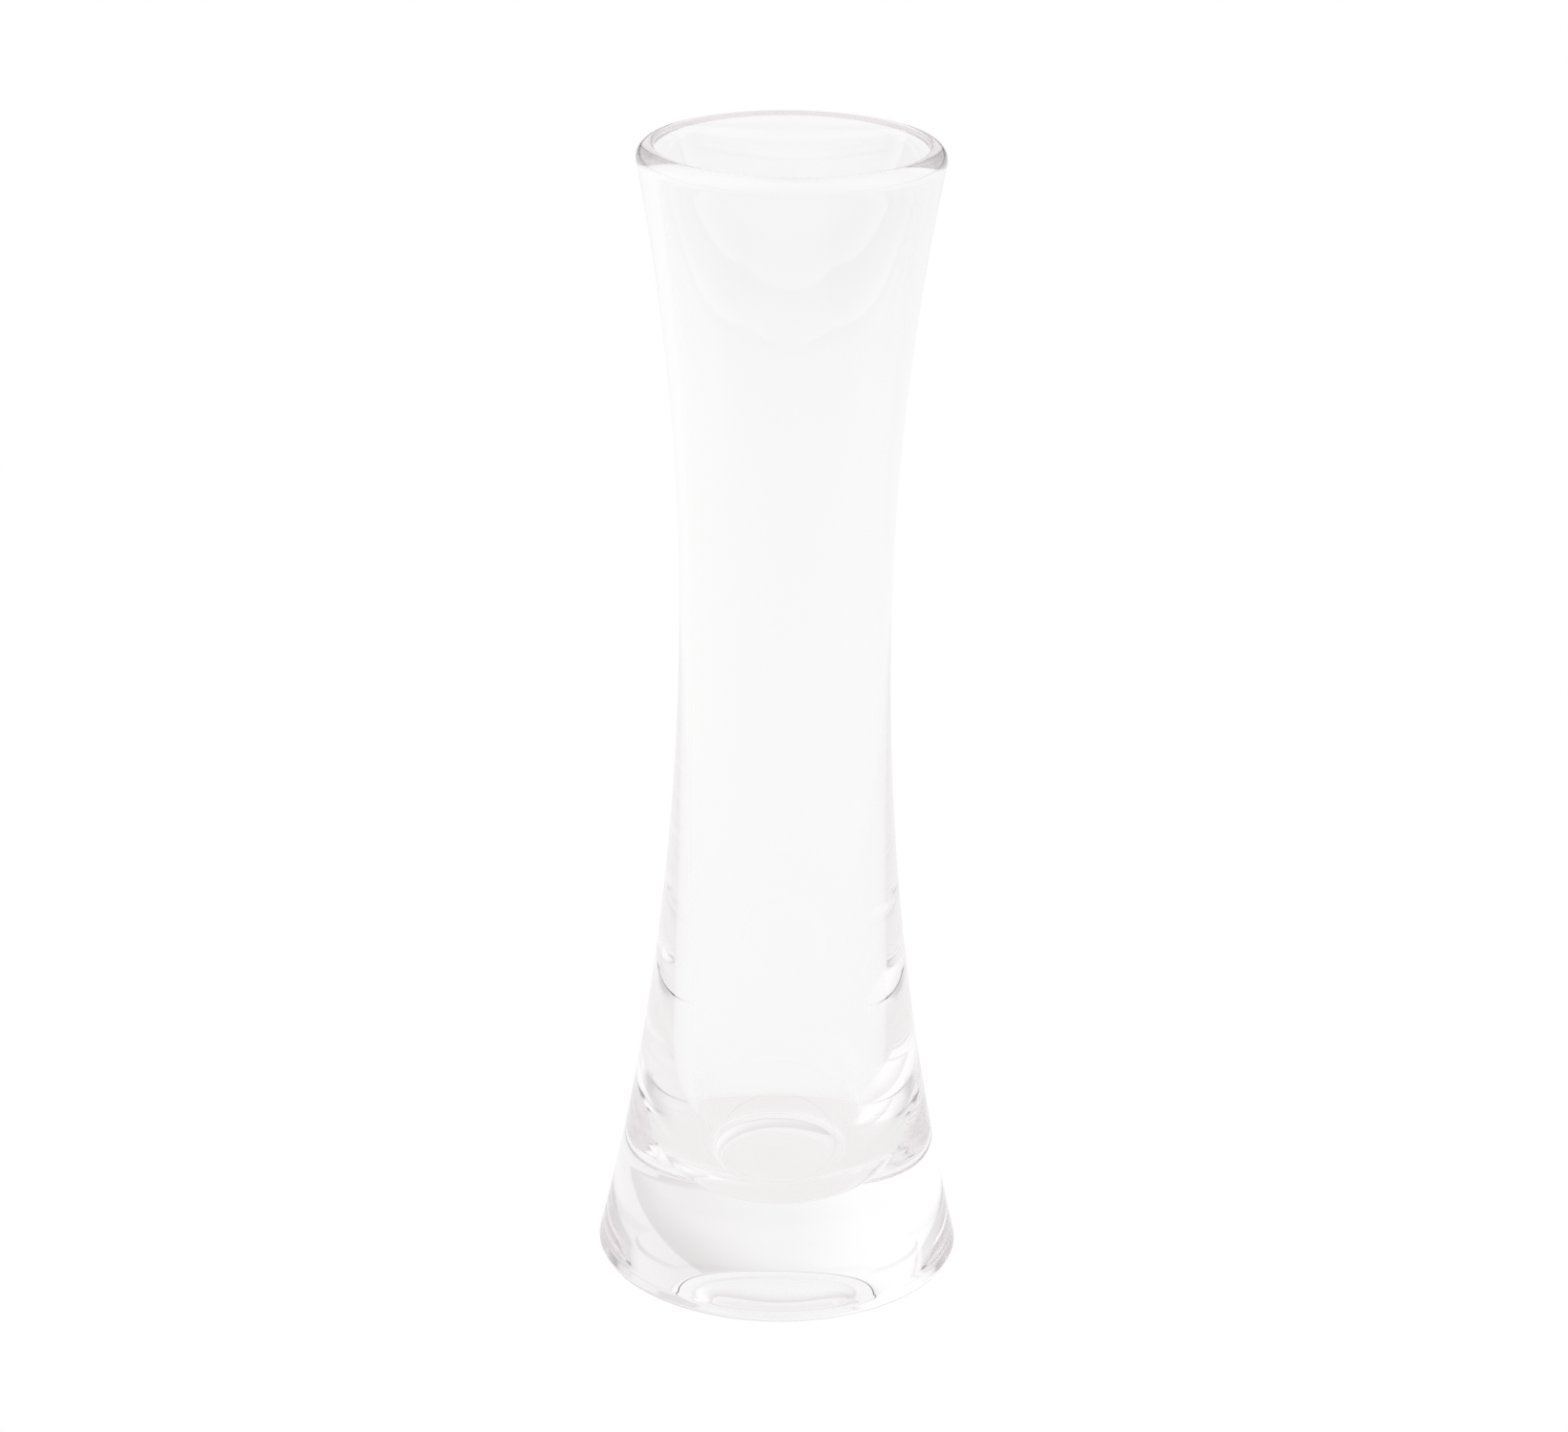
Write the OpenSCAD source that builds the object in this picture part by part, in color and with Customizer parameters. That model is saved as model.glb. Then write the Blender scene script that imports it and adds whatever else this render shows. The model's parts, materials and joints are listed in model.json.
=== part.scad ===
// Bud vase: one piece of clear glass with a thick foot, a narrow waist and a flared mouth.
// A round well for the stems runs down the middle: it opens out above the waist, is straight
// below it, and ends in a deep cup with rounded corners above the solid foot. The underside
// is slightly hollow, so that the vase stands on a flat ring.
// Millimetres, +Z up. The origin is on the axis, level with that ring.

/* [Outside] */
// Height from the underside to the top of the rim
vase_h = 200; // [160:1:260]
// Widest radius of the foot, just above the underside
foot_r = 31.8; // [29:0.1:40]
// Radius of the glass at the waist, its narrowest place
waist_r = 18; // [17.5:0.1:21]
// Height of the waist, as a share of the whole height
waist_share = 0.59; // [0.5:0.01:0.66]
// Widest radius of the mouth, at the rounded rim
mouth_r = 25.4; // [24:0.1:34]
// Radius of the rounding on the outer edge of the rim
rim_outer_r = 2.4; // [1:0.1:3]
// Radius of the rounding on the inner edge of the rim
rim_inner_r = 0.4; // [0.2:0.1:1]
// Radius of the rounded bottom edge of the foot
foot_edge_r = 0.8; // [0.4:0.1:1.5]
// Radius of the hollow in the underside
hollow_r = 26.9; // [20:0.1:27]
// How far the hollow rises at its middle
hollow_rise = 1.7; // [0.5:0.1:3]

/* [Stem well] */
// Radius of the straight part of the well
well_r = 16.3; // [12:0.1:16.5]
// Height of the bottom of the well above the underside
floor_h = 13.1; // [8:0.1:30]
// Length of the cup that closes the well, from its floor up to where the sides are upright
cup_l = 34.3; // [20:0.1:50]
// How squarely the sides of the cup turn in: 2 is an ellipse, more is squarer
side_power = 3.8; // [2:0.1:6]
// How flat the floor of the cup is: 2 is an ellipse, more is flatter
floor_power = 5.4; // [2:0.1:8]
// Height where the well starts to open out, as a share of the whole height
flare_share = 0.6; // [0.5:0.01:0.66]

/* [Hidden] */
$fn = 240;

// How far the shapes that are cut away reach past the glass
past = 5;
waist_z = vase_h * waist_share;
flare_z = vase_h * flare_share;
cup_top_z = floor_h + cup_l;
cup_steps = 48;

// Centres of the small circles that round the foot and the rim, as [radius, height]. The two
// at the rim lie one above the other, so that together they make its top.
foot_edge = [foot_r - foot_edge_r, foot_edge_r];
rim_outer = [mouth_r - rim_outer_r, vase_h - rim_outer_r];
rim_inner = [rim_outer[0], vase_h - rim_inner_r];

// Radius of an arc that starts upright and bows out by run over rise, to the centre of a
// small circle of radius edge_r. It passes that circle on the far side from its own centre
// where edge_r is negative, and on the near side where edge_r is positive.
function arc_r(run, rise, edge_r) =
    (run * run + rise * rise - edge_r * edge_r) / (2 * (run + edge_r));

// Point at a given distance from one point towards another
function towards(from, to, distance) = from + (to - from) * distance / norm(to - from);

// Point on the side of the cup, from 0 degrees where it is upright to 90 on the axis
function cup_point(turn) = [
    well_r * pow(cos(turn), 2 / floor_power),
    cup_top_z - cup_l * pow(sin(turn), 2 / side_power)
];

foot_arc_r = arc_r(foot_edge[0] - waist_r, waist_z - foot_edge[1], foot_edge_r);
foot_arc = [waist_r + foot_arc_r, waist_z];
foot_touch = towards(foot_arc, foot_edge, foot_arc_r);

mouth_arc_r = arc_r(rim_outer[0] - waist_r, rim_outer[1] - waist_z, rim_outer_r);
mouth_arc = [waist_r + mouth_arc_r, waist_z];
mouth_touch = towards(mouth_arc, rim_outer, mouth_arc_r);

flare_arc_r = arc_r(rim_inner[0] - well_r, rim_inner[1] - flare_z, -rim_inner_r);
flare_arc = [well_r + flare_arc_r, flare_z];
flare_touch = towards(flare_arc, rim_inner, flare_arc_r);

hollow_arc_r = (hollow_r * hollow_r + hollow_rise * hollow_rise) / (2 * hollow_rise);

module disc(centre, radius) {
    translate(centre) circle(radius);
}

// Half section of the vase with its well filled in
module outside_shape() {
    difference() {
        union() {
            polygon([
                [0, 0], [foot_edge[0], 0], foot_touch, [waist_r, waist_z],
                mouth_touch, rim_outer, rim_inner, flare_touch, [0, flare_touch[1]]
            ]);
            disc(foot_edge, foot_edge_r);
            disc(rim_outer, rim_outer_r);
            disc(rim_inner, rim_inner_r);
        }
        intersection() {
            disc(foot_arc, foot_arc_r);
            translate([0, -past]) square([foot_r + past, waist_z + past]);
        }
        intersection() {
            disc(mouth_arc, mouth_arc_r);
            translate([0, waist_z]) square([mouth_r + past, vase_h - waist_z + past]);
        }
        disc([0, hollow_rise - hollow_arc_r], hollow_arc_r);
    }
}

// Half section of the stem well, with its open end carried up past the rim
module well_shape() {
    difference() {
        translate([0, flare_z]) square([mouth_r + past, vase_h - flare_z + past]);
        disc(flare_arc, flare_arc_r);
    }
    translate([0, cup_top_z]) square([well_r, flare_z - cup_top_z]);
    polygon([
        [0, cup_top_z],
        for (step = [0:cup_steps]) cup_point(90 * step / cup_steps)
    ]);
}

// The whole vase: clear glass, closed at the foot and open at the mouth
module vase_body() {
    color([0.88, 0.89, 0.89, 0.4])
        rotate_extrude()
            difference() {
                outside_shape();
                well_shape();
            }
}

vase_body();
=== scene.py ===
import json
import math

import bmesh
import bpy
from mathutils import Matrix, Vector


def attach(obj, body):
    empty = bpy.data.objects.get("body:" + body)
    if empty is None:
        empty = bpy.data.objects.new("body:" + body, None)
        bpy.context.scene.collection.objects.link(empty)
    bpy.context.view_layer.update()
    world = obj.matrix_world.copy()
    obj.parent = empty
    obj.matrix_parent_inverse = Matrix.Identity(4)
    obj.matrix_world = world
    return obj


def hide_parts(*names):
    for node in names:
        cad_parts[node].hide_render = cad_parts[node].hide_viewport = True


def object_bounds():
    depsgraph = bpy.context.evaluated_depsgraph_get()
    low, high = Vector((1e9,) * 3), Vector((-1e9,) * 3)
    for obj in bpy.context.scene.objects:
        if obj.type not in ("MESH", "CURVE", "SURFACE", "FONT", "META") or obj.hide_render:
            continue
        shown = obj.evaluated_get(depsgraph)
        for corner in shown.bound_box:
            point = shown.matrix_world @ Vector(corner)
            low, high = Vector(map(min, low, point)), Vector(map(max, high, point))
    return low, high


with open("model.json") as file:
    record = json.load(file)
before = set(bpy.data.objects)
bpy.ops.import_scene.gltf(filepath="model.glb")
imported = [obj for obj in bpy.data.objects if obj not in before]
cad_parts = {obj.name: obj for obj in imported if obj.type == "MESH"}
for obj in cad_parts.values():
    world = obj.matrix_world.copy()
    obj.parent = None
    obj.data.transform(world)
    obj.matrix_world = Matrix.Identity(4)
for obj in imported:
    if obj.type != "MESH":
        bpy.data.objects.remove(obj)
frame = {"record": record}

cad_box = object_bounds()

# ---------------------------------------------------------------- the studio
# A broad pale table with a pale sweep all round it. The sweep lights the glass softly and a
# little more from the left; the table itself glows, with painted light and shade that are
# brighter on the left.
# The far edge of the table is a thin dark line all round, painted shade on the table's far part
# and a dark band in the sweep, as in any real room: clear glass only shows by what it bends
# into view. What the camera sees directly is pure white.
TABLE_HALF = 4.0
TABLE_DROP = 0.0002  # just clear of the foot, so that the two faces never touch
SWEEP_GLOW = 1.0
WHITE = (1.0, 1.0, 1.0, 1.0)


def new_material(name):
    """A material with an empty node tree, its output node and the two ways to add to it."""
    material = bpy.data.materials.new(name)
    material.use_nodes = True
    tree = material.node_tree
    tree.nodes.clear()
    output = tree.nodes.new("ShaderNodeOutputMaterial")
    return material, tree.nodes, tree.links, output


def ramp(nodes, links, value, low, high, stops):
    """A soft run of colours over a value from low to high; each stop is (value, colour)."""
    scaled = nodes.new("ShaderNodeMapRange")
    scaled.inputs["From Min"].default_value = low
    scaled.inputs["From Max"].default_value = high
    links.new(value, scaled.inputs["Value"])
    colours = nodes.new("ShaderNodeValToRGB")
    colours.color_ramp.interpolation = "EASE"
    links.new(scaled.outputs["Result"], colours.inputs["Fac"])
    points = colours.color_ramp.elements
    while len(points) < len(stops):
        points.new(0.5)
    for point, (at, colour) in zip(points, stops):
        point.position = (at - low) / (high - low)
        point.color = (*colour, 1.0)
    return colours.outputs["Color"]


def mix_colours(nodes, links, blend, factor, first, second):
    """A mix of two colours; each of the three is a number, a colour or a node's socket."""
    mix = nodes.new("ShaderNodeMix")
    mix.data_type = "RGBA"
    mix.blend_type = blend
    sockets = {socket.identifier: socket for socket in mix.inputs}
    for value, name in ((factor, "Factor_Float"), (first, "A_Color"), (second, "B_Color")):
        if isinstance(value, bpy.types.NodeSocket):
            links.new(value, sockets[name])
        else:
            sockets[name].default_value = value
    return next(o for o in mix.outputs if o.identifier == "Result_Color")


table_mesh = bpy.data.meshes.new("studio_table")
corners = [(-TABLE_HALF, -TABLE_HALF), (TABLE_HALF, -TABLE_HALF),
           (TABLE_HALF, TABLE_HALF), (-TABLE_HALF, TABLE_HALF)]
table_mesh.from_pydata([(x, y, -TABLE_DROP) for x, y in corners], [], [(0, 1, 2, 3)])
table = bpy.data.objects.new("studio_table", table_mesh)
bpy.context.scene.collection.objects.link(table)

# The table's white paper glows by itself, and its light and shade are painted into the glow:
# painted shading greys it off to the right, towards the front and far away, and a painted
# shadow lies under the foot. Camera rays see it plain white. Distances are in metres from the
# foot's middle.
painted_light_table, nodes, links, output = new_material("painted_light_paper")
place = nodes.new("ShaderNodeTexCoord")
across = nodes.new("ShaderNodeSeparateXYZ")
links.new(place.outputs["Object"], across.inputs["Vector"])
distance = nodes.new("ShaderNodeVectorMath")
distance.operation = "LENGTH"
links.new(place.outputs["Object"], distance.inputs[0])
# Painted light: the glow dims a little to the right, towards the front and far away, as a lit
# table would
left_to_right = ramp(nodes, links, across.outputs["X"], -1.0, 1.0, [
    (-0.3, (0.99, 0.99, 0.99)), (0.1, (0.955, 0.955, 0.955)),
    (0.5, (0.93, 0.925, 0.925))])
front_to_back = ramp(nodes, links, across.outputs["Y"], -1.0, 1.0, [
    (-0.5, (0.9, 0.89, 0.89)), (0.0, (1.0, 1.0, 1.0))])
near_to_far = ramp(nodes, links, distance.outputs["Value"], 0.0, TABLE_HALF, [
    (0.9, (1.0, 1.0, 1.0)), (2.2, (0.8, 0.77, 0.78)), (4.0, (0.3, 0.25, 0.28))])
# Painted shadow: the glow is a little darker under the foot and just past its edge, where the
# vase would shade the table
painted_shadow_under_foot = ramp(nodes, links, distance.outputs["Value"], 0.0, 0.05, [
    (0.028, (0.93, 0.91, 0.91)), (0.034, (1.0, 1.0, 1.0))])
tone = mix_colours(nodes, links, "MULTIPLY", 1.0, left_to_right, front_to_back)
tone = mix_colours(nodes, links, "MULTIPLY", 1.0, tone, near_to_far)
tone = mix_colours(nodes, links, "MULTIPLY", 1.0, tone, painted_shadow_under_foot)
seen = nodes.new("ShaderNodeLightPath")
tone = mix_colours(nodes, links, "MIX", seen.outputs["Is Camera Ray"], tone, WHITE)
# The painted light and shade are given off as the table's own glow; the sweep does not light it
glow = nodes.new("ShaderNodeEmission")
links.new(tone, glow.inputs["Color"])
links.new(glow.outputs["Emission"], output.inputs["Surface"])
table_mesh.materials.append(painted_light_table)

# The sweep round the table. Its colours go by direction, each part of it from -1 to 1. The
# skyline is the dark line at the table's far edge, weaker straight in front of the vase.
sweep = bpy.data.worlds.new("white_sweep")
bpy.context.scene.world = sweep
sweep.use_nodes = True
nodes, links = sweep.node_tree.nodes, sweep.node_tree.links
view = nodes.new("ShaderNodeTexCoord")
parts = nodes.new("ShaderNodeSeparateXYZ")
links.new(view.outputs["Generated"], parts.inputs["Vector"])
left_to_right = ramp(nodes, links, parts.outputs["X"], -1.0, 1.0, [
    (-0.8, (1.1, 1.1, 1.1)), (-0.35, (1.04, 1.04, 1.04)), (0.0, (0.95, 0.95, 0.95)),
    (0.35, (0.9, 0.89, 0.89)), (0.9, (0.95, 0.94, 0.94))])
front_to_back = ramp(nodes, links, parts.outputs["Y"], -1.0, 1.0, [
    (-0.99, (0.72, 0.7, 0.71)), (-0.8, (0.9, 0.89, 0.9)), (-0.2, (1.0, 1.0, 1.0))])
skyline = ramp(nodes, links, parts.outputs["Z"], -0.2, 0.3, [
    (-0.04, (1.0, 1.0, 1.0)), (0.0, (0.12, 0.09, 0.11)), (0.045, (0.16, 0.13, 0.15)),
    (0.11, (1.0, 1.0, 1.0))])
skyline_strength = nodes.new("ShaderNodeMapRange")
skyline_strength.inputs["From Min"].default_value = -0.97
skyline_strength.inputs["From Max"].default_value = -0.75
skyline_strength.inputs["To Min"].default_value = 0.4
links.new(parts.outputs["Y"], skyline_strength.inputs["Value"])
# A grey card stands to one side: it has one hard slanting edge, and pales away from it
PANEL_SIDE = (1.0, -1.43, 1.0)
to_panel = nodes.new("ShaderNodeVectorMath")
to_panel.operation = "DOT_PRODUCT"
links.new(view.outputs["Generated"], to_panel.inputs[0])
to_panel.inputs[1].default_value = PANEL_SIDE
panel = ramp(nodes, links, to_panel.outputs["Value"], -1.0, 0.5, [
    (-0.7, (1.0, 1.0, 1.0)), (-0.03, (0.85, 0.835, 0.84)), (0.0, (0.99, 0.985, 0.985))])
tone = mix_colours(nodes, links, "MULTIPLY", 1.0, left_to_right, front_to_back)
tone = mix_colours(nodes, links, "MULTIPLY", skyline_strength.outputs["Result"], tone, skyline)
tone = mix_colours(nodes, links, "MULTIPLY", 1.0, tone, panel)
seen = nodes.new("ShaderNodeLightPath")
tone = mix_colours(nodes, links, "MIX", seen.outputs["Is Camera Ray"], tone, WHITE)
links.new(tone, nodes["Background"].inputs["Color"])
nodes["Background"].inputs["Strength"].default_value = SWEEP_GLOW

# ---------------------------------------------------------------- the camera
# It stands a little over three heights of the vase in front of it, with a long lens, and
# looks down at about 21 degrees. Light may cross the glass many times on its way, because
# otherwise the thick parts would go black.
vase_height = cad_box[1].z - cad_box[0].z
CAMERA_AWAY = 3.3122 * vase_height
CAMERA_UP = 1.7956 * vase_height
PITCH = math.radians(21.351)
ROLL = math.radians(0.797)
SENSOR_WIDTH = 36.0
FOCAL_LENGTH = 95.4844
LIGHT_BOUNCES = 128

camera_data = bpy.data.cameras.new("camera")
camera_data.sensor_width = SENSOR_WIDTH
camera_data.lens = FOCAL_LENGTH
camera = bpy.data.objects.new("camera", camera_data)
bpy.context.scene.collection.objects.link(camera)
camera.matrix_world = (
    Matrix.Translation((0.0, -CAMERA_AWAY, CAMERA_UP))
    @ Matrix.Rotation(math.pi / 2 - PITCH, 4, "X")
    @ Matrix.Rotation(ROLL, 4, "Z"))
bpy.context.scene.camera = camera
bpy.context.scene.view_settings.view_transform = "Standard"
bpy.context.scene.cycles.max_bounces = LIGHT_BOUNCES
bpy.context.scene.cycles.transmission_bounces = LIGHT_BOUNCES
bpy.context.scene.cycles.glossy_bounces = LIGHT_BOUNCES

# ---------------------------------------------------------------- the vase
# One piece of soda-lime glass, gathered and blown in a turning mould: a heavy solid foot, a
# narrow waist and a flared mouth, with a plain round well down the middle. The rim is melted
# round in a flame. The underside is left slightly hollow, so that it stands on a flat ring.
MM = 0.001
stem_well = next(m for m in frame["record"]["mounts"] if m["name"] == "stem_well")
foot_r = cad_box[1].x
foot_edge_r = 0.8 * MM
waist_r = 18.0 * MM
waist_z = 0.59 * vase_height
mouth_r = 25.4 * MM
rim_outer_r = 2.4 * MM
rim_inner_r = 0.4 * MM
well_r = stem_well["dims"]["r_mm"] * MM
flare_z = 0.6 * vase_height
floor_z = 13.1 * MM
cup_length = 34.3 * MM
side_power = 3.8
floor_power = 5.4
hollow_r = 26.9 * MM
hollow_rise = 1.7 * MM

foot_edge = Vector((foot_r - foot_edge_r, foot_edge_r))
rim_outer = Vector((mouth_r - rim_outer_r, vase_height - rim_outer_r))
rim_inner = Vector((rim_outer.x, vase_height - rim_inner_r))


def bowing_radius(run, rise, edge):
    """Radius of an arc that starts upright and bows out to a rounding of radius edge.

    It meets the rounding on the near side where edge is more than 0, and otherwise on the far
    side. Run and rise are measured to the middle of the rounding.
    """
    return (run * run + rise * rise - edge * edge) / (2 * (run + edge))


QUARTER_TURN = math.pi / 2
HALF_TURN = math.pi
ROUNDING_ERROR = 1e-6


def angle(start, end):
    """Direction from one point of the section to another, from -90 degrees up to 270."""
    turn = math.atan2(end.y - start.y, end.x - start.x)
    return turn if turn >= -QUARTER_TURN - ROUNDING_ERROR else turn + 2 * HALF_TURN


foot_bow = bowing_radius(foot_edge.x - waist_r, waist_z - foot_edge.y, foot_edge_r)
foot_centre = Vector((waist_r + foot_bow, waist_z))
mouth_bow = bowing_radius(rim_outer.x - waist_r, rim_outer.y - waist_z, rim_outer_r)
mouth_centre = Vector((waist_r + mouth_bow, waist_z))
flare_bow = bowing_radius(rim_inner.x - well_r, rim_inner.y - flare_z, -rim_inner_r)
flare_centre = Vector((well_r + flare_bow, flare_z))
hollow_bow = (hollow_r ** 2 + hollow_rise ** 2) / (2 * hollow_rise)
hollow_centre = Vector((0.0, hollow_rise - hollow_bow))
cup_top_z = floor_z + cup_length

# Each arc of the half section: its name, side of the glass, centre, radius, the directions
# that it starts and ends in, and its steps. They run from the middle of the underside up.
ARCS = [
    ("Underside", "outside", hollow_centre, hollow_bow,
     QUARTER_TURN, math.atan2(-hollow_centre.y, hollow_r), 24),
    ("Foot edge", "outside", foot_edge, foot_edge_r,
     -QUARTER_TURN, angle(foot_edge, foot_centre), 8),
    ("Foot", "outside", foot_centre, foot_bow,
     angle(foot_centre, foot_edge), HALF_TURN, 54),
    ("Mouth", "outside", mouth_centre, mouth_bow,
     HALF_TURN, angle(mouth_centre, rim_outer), 36),
    ("Rim outside", "outside", rim_outer, rim_outer_r,
     angle(rim_outer, mouth_centre), QUARTER_TURN, 14),
    ("Rim inside", "outside", rim_inner, rim_inner_r,
     QUARTER_TURN, angle(flare_centre, rim_inner), 8),
    ("Flare", "well", flare_centre, flare_bow,
     angle(flare_centre, rim_inner), HALF_TURN, 36),
]
# Each straight line of the half section: its name, side of the glass, two ends, and steps
LINES = [
    ("Standing ring", "outside", Vector((hollow_r, 0.0)), Vector((foot_edge.x, 0.0)), 4),
    ("Well wall", "well", Vector((well_r, flare_z)), Vector((well_r, cup_top_z)), 12),
]
CUP_STEPS = 170
ROUND_STEPS = 256
AXLE_R = 10.0 * MM  # radius of the circle that the section is swept round
WAVINESS = 0.05 * MM
WAVES_PER_METRE = 45.0
WAVES_FADE_FROM = 0.6 * vase_height
WAVES_FADE_OUT = 0.95 * vase_height
WELD_GAP = 0.002 * MM

tree = bpy.data.node_groups.new("turned_glass", "GeometryNodeTree")
tree.interface.new_socket("Geometry", in_out="OUTPUT", socket_type="NodeSocketGeometry")
settings = {}


def add_size(name, kind, value):
    """Add a named input to the turning, and note the value that the vase gives it."""
    socket = tree.interface.new_socket(name, in_out="INPUT", socket_type=kind)
    settings[socket.identifier] = value


for name, _, centre, radius, start, end, steps in ARCS:
    add_size(name + " centre", "NodeSocketVector", (centre.x - AXLE_R, centre.y, 0.0))
    add_size(name + " radius", "NodeSocketFloat", radius)
    add_size(name + " start", "NodeSocketFloat", start)
    add_size(name + " sweep", "NodeSocketFloat", end - start)
    add_size(name + " steps", "NodeSocketInt", steps + 1)
for name, _, start, end, steps in LINES:
    add_size(name + " start", "NodeSocketVector", (start.x - AXLE_R, start.y, 0.0))
    add_size(name + " end", "NodeSocketVector", (end.x - AXLE_R, end.y, 0.0))
    add_size(name + " steps", "NodeSocketInt", steps + 1)
add_size("Cup floor height", "NodeSocketFloat", floor_z)
add_size("Cup length", "NodeSocketFloat", cup_length)
add_size("Cup radius", "NodeSocketFloat", well_r)
add_size("Cup side power", "NodeSocketFloat", side_power)
add_size("Cup floor power", "NodeSocketFloat", floor_power)
add_size("Cup steps", "NodeSocketInt", CUP_STEPS + 1)
add_size("Axle radius", "NodeSocketFloat", AXLE_R)
add_size("Steps round", "NodeSocketInt", ROUND_STEPS)
add_size("Waviness", "NodeSocketFloat", WAVINESS)

nodes, links = tree.nodes, tree.links
sizes = nodes.new("NodeGroupInput")
result = nodes.new("NodeGroupOutput")
path = nodes.new("GeometryNodeCurvePrimitiveCircle")
links.new(sizes.outputs["Steps round"], path.inputs["Resolution"])
links.new(sizes.outputs["Axle radius"], path.inputs["Radius"])
upright = nodes.new("GeometryNodeSetCurveNormal")
upright.mode = "Z_UP"
links.new(path.outputs["Curve"], upright.inputs["Curve"])
sections = {side: nodes.new("GeometryNodeJoinGeometry") for side in ("outside", "well")}
for name, side, *_ in ARCS:
    arc = nodes.new("GeometryNodeCurveArc")
    arc.mode = "RADIUS"
    for size, socket in (("radius", "Radius"), ("start", "Start Angle"),
                         ("sweep", "Sweep Angle"), ("steps", "Resolution")):
        links.new(sizes.outputs[f"{name} {size}"], arc.inputs[socket])
    place = nodes.new("GeometryNodeTransform")
    links.new(arc.outputs["Curve"], place.inputs["Geometry"])
    links.new(sizes.outputs[name + " centre"], place.inputs["Translation"])
    links.new(place.outputs["Geometry"], sections[side].inputs["Geometry"])
for name, side, *_ in LINES:
    line = nodes.new("GeometryNodeCurvePrimitiveLine")
    links.new(sizes.outputs[name + " start"], line.inputs["Start"])
    links.new(sizes.outputs[name + " end"], line.inputs["End"])
    steps = nodes.new("GeometryNodeResampleCurve")
    links.new(line.outputs["Curve"], steps.inputs["Curve"])
    links.new(sizes.outputs[name + " steps"], steps.inputs["Count"])
    links.new(steps.outputs["Curve"], sections[side].inputs["Geometry"])


def calculate(operation, first, second=0.0):
    """A math node's result; each side is a number or another node's socket."""
    step = nodes.new("ShaderNodeMath")
    step.operation = operation
    for value, socket in ((first, step.inputs[0]), (second, step.inputs[1])):
        if isinstance(value, float):
            socket.default_value = value
        else:
            links.new(value, socket)
    return step.outputs["Value"]


# The cup: a row of points bent to a superellipse, upright at the top and level on the axis
row = nodes.new("GeometryNodeCurvePrimitiveLine")
row_steps = nodes.new("GeometryNodeResampleCurve")
links.new(row.outputs["Curve"], row_steps.inputs["Curve"])
links.new(sizes.outputs["Cup steps"], row_steps.inputs["Count"])
along = nodes.new("GeometryNodeSplineParameter")
turned_by = calculate("MULTIPLY", along.outputs["Factor"], QUARTER_TURN)
narrowing = calculate("POWER", calculate("MAXIMUM", calculate("COSINE", turned_by), 0.0),
                      calculate("DIVIDE", 2.0, sizes.outputs["Cup floor power"]))
deepening = calculate("POWER", calculate("SINE", turned_by),
                      calculate("DIVIDE", 2.0, sizes.outputs["Cup side power"]))
cup_point = nodes.new("ShaderNodeCombineXYZ")
links.new(calculate("SUBTRACT", calculate("MULTIPLY", sizes.outputs["Cup radius"], narrowing),
                    sizes.outputs["Axle radius"]), cup_point.inputs["X"])
left_over = calculate("MULTIPLY", sizes.outputs["Cup length"],
                      calculate("SUBTRACT", 1.0, deepening))
links.new(calculate("ADD", sizes.outputs["Cup floor height"], left_over), cup_point.inputs["Y"])
cup = nodes.new("GeometryNodeSetPosition")
links.new(row_steps.outputs["Curve"], cup.inputs["Geometry"])
links.new(cup_point.outputs["Vector"], cup.inputs["Position"])
links.new(cup.outputs["Geometry"], sections["well"].inputs["Geometry"])

# Each side of the section is swept round the circle. It comes out hanging below the table,
# so heights are negative until the vase is stood upright.
skins = {}
for side, section in sections.items():
    turn = nodes.new("GeometryNodeCurveToMesh")
    links.new(upright.outputs["Curve"], turn.inputs["Curve"])
    links.new(section.outputs["Geometry"], turn.inputs["Profile Curve"])
    skins[side] = turn

# The well was shaped by breath, not by the mould, so it is very slightly uneven. The
# unevenness dies out towards the rim, where the well meets the outside.
where = nodes.new("GeometryNodeInputPosition")
ripple = nodes.new("ShaderNodeTexNoise")
ripple.inputs["Scale"].default_value = WAVES_PER_METRE
ripple.inputs["Detail"].default_value = 1.0
links.new(where.outputs["Position"], ripple.inputs["Vector"])
height = nodes.new("ShaderNodeSeparateXYZ")
links.new(where.outputs["Position"], height.inputs["Vector"])
fade = nodes.new("ShaderNodeMapRange")
fade.inputs["From Min"].default_value = -WAVES_FADE_OUT
fade.inputs["From Max"].default_value = -WAVES_FADE_FROM
links.new(height.outputs["Z"], fade.inputs["Value"])
uneven = calculate("MULTIPLY", calculate("SUBTRACT", ripple.outputs["Fac"], 0.5),
                   calculate("MULTIPLY", sizes.outputs["Waviness"], fade.outputs["Result"]))
outward = nodes.new("GeometryNodeInputNormal")
push = nodes.new("ShaderNodeVectorMath")
push.operation = "SCALE"
links.new(outward.outputs["Normal"], push.inputs[0])
links.new(uneven, push.inputs["Scale"])
blown = nodes.new("GeometryNodeSetPosition")
links.new(skins["well"].outputs["Mesh"], blown.inputs["Geometry"])
links.new(push.outputs["Vector"], blown.inputs["Offset"])

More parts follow.
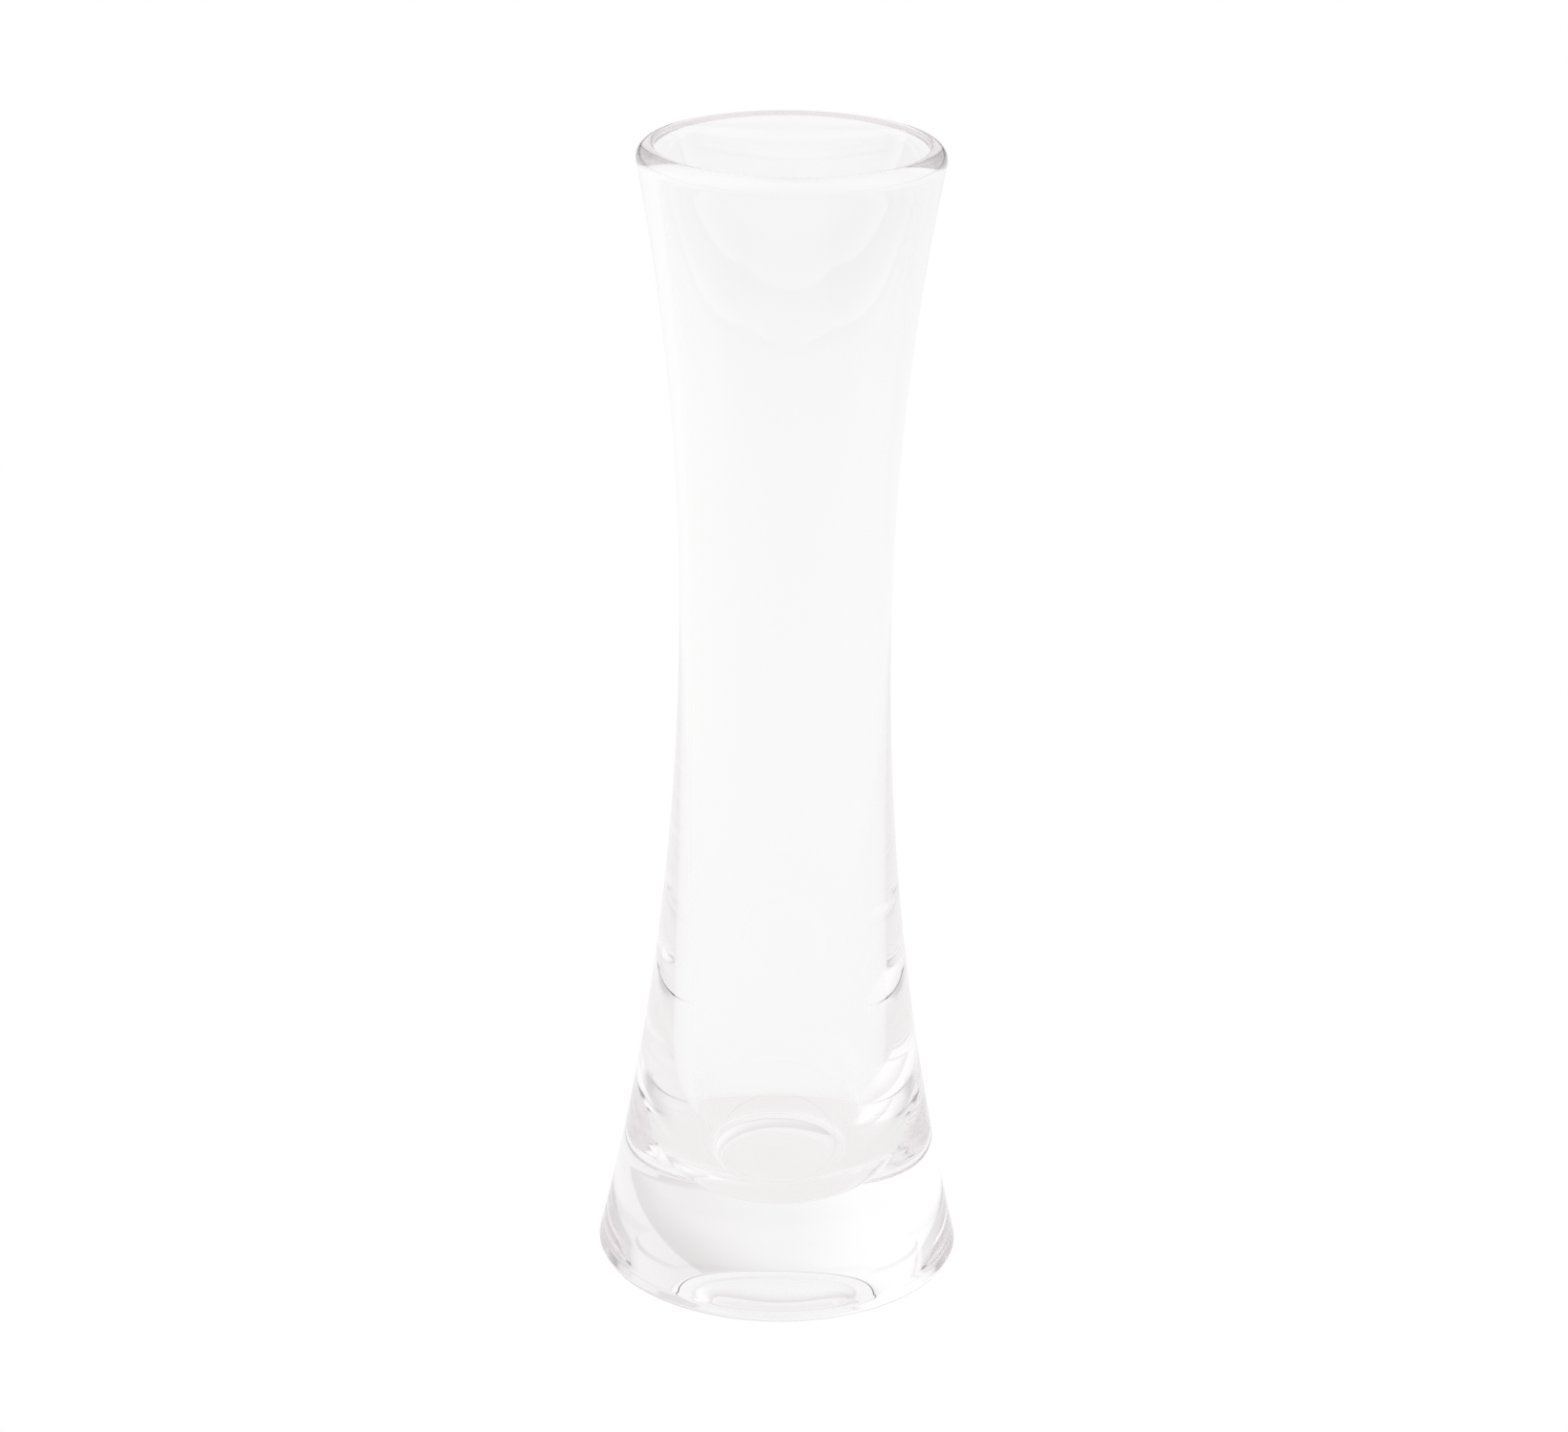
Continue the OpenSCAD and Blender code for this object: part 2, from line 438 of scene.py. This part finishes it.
# The outside and the well are welded into one closed skin, which is stood upright
whole = nodes.new("GeometryNodeJoinGeometry")
links.new(skins["outside"].outputs["Mesh"], whole.inputs["Geometry"])
links.new(blown.outputs["Geometry"], whole.inputs["Geometry"])
weld = nodes.new("GeometryNodeMergeByDistance")
weld.inputs["Distance"].default_value = WELD_GAP
links.new(whole.outputs["Geometry"], weld.inputs["Geometry"])
upright_vase = nodes.new("GeometryNodeTransform")
upright_vase.inputs["Rotation"].default_value = (HALF_TURN, 0.0, 0.0)
links.new(weld.outputs["Geometry"], upright_vase.inputs["Geometry"])
smooth = nodes.new("GeometryNodeSetShadeSmooth")
links.new(upright_vase.outputs["Geometry"], smooth.inputs["Geometry"])
real = nodes.new("GeometryNodeRealizeInstances")
links.new(smooth.outputs["Geometry"], real.inputs["Geometry"])
finish = nodes.new("GeometryNodeSetMaterial")
links.new(real.outputs["Geometry"], finish.inputs["Geometry"])
links.new(finish.outputs["Geometry"], result.inputs["Geometry"])

# Clear soda-lime glass. The surface is glossy, with the faintest unevenness from the mould.
# Only the ring that the vase stands on is finely scuffed.
GLASS_COLOUR = (0.998, 0.996, 0.996, 1.0)
REFRACTION = 1.5
SCUFFS_PER_METRE = 900.0
SCUFF_ROUGHNESS = (0.01, 0.1)
SCUFF_HEIGHT = 0.02 * MM
MOULD_WAVES_PER_METRE = 70.0
MOULD_WAVE_DEPTH = 0.02 * MM
MOULD_WAVE_STRENGTH = 0.2
clear_glass, nodes, links, output = new_material("clear_glass")
glass = nodes.new("ShaderNodeBsdfPrincipled")
glass.inputs["Base Color"].default_value = GLASS_COLOUR
glass.inputs["Transmission Weight"].default_value = 1.0
glass.inputs["IOR"].default_value = REFRACTION
place = nodes.new("ShaderNodeTexCoord")
apart = nodes.new("ShaderNodeSeparateXYZ")
links.new(place.outputs["Object"], apart.inputs["Vector"])
from_middle = nodes.new("ShaderNodeVectorMath")
from_middle.operation = "LENGTH"
links.new(place.outputs["Object"], from_middle.inputs[0])
standing_ring = calculate(
    "MULTIPLY", calculate("LESS_THAN", apart.outputs["Z"], SCUFF_HEIGHT),
    calculate("GREATER_THAN", from_middle.outputs["Value"], hollow_r))
scuffs = nodes.new("ShaderNodeTexNoise")
scuffs.inputs["Scale"].default_value = SCUFFS_PER_METRE
scuffs.inputs["Detail"].default_value = 3.0
links.new(place.outputs["Object"], scuffs.inputs["Vector"])
scuffed = nodes.new("ShaderNodeMapRange")
scuffed.inputs["To Min"].default_value = SCUFF_ROUGHNESS[0]
scuffed.inputs["To Max"].default_value = SCUFF_ROUGHNESS[1]
links.new(scuffs.outputs["Fac"], scuffed.inputs["Value"])
roughness = calculate("MULTIPLY", standing_ring, scuffed.outputs["Result"])
links.new(roughness, glass.inputs["Roughness"])
mould = nodes.new("ShaderNodeTexNoise")
mould.inputs["Scale"].default_value = MOULD_WAVES_PER_METRE
mould.inputs["Detail"].default_value = 1.0
links.new(place.outputs["Object"], mould.inputs["Vector"])
bump = nodes.new("ShaderNodeBump")
bump.inputs["Strength"].default_value = MOULD_WAVE_STRENGTH
bump.inputs["Distance"].default_value = MOULD_WAVE_DEPTH
links.new(mould.outputs["Fac"], bump.inputs["Height"])
links.new(bump.outputs["Normal"], glass.inputs["Normal"])
links.new(glass.outputs["BSDF"], output.inputs["Surface"])
# The glass shows a tint only where light runs a long way through it, round the rim and foot
TINT = (0.6, 0.5, 0.54, 1.0)
TINT_PER_METRE = 1.0
tint = nodes.new("ShaderNodeVolumeAbsorption")
tint.inputs["Color"].default_value = TINT
tint.inputs["Density"].default_value = TINT_PER_METRE
links.new(tint.outputs["Volume"], output.inputs["Volume"])
finish.inputs["Material"].default_value = clear_glass

# The turning is done once and kept as a plain mesh, with every face pointing outwards
blank = bpy.data.meshes.new("vase_blank")
turned = bpy.data.objects.new("vase_blank", blank)
bpy.context.scene.collection.objects.link(turned)
turning = turned.modifiers.new("turning", "NODES")
turning.node_group = tree
for identifier, value in settings.items():
    turning[identifier] = value
evaluated = turned.evaluated_get(bpy.context.evaluated_depsgraph_get())
vase_mesh = bpy.data.meshes.new_from_object(evaluated)
bpy.data.objects.remove(turned)
vase_mesh.name = "glass_vase"
work = bmesh.new()
work.from_mesh(vase_mesh)
bmesh.ops.recalc_face_normals(work, faces=work.faces)
work.to_mesh(vase_mesh)
work.free()
vase = bpy.data.objects.new("glass_vase", vase_mesh)
bpy.context.scene.collection.objects.link(vase)
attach(vase, "root")
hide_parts("vase_body")
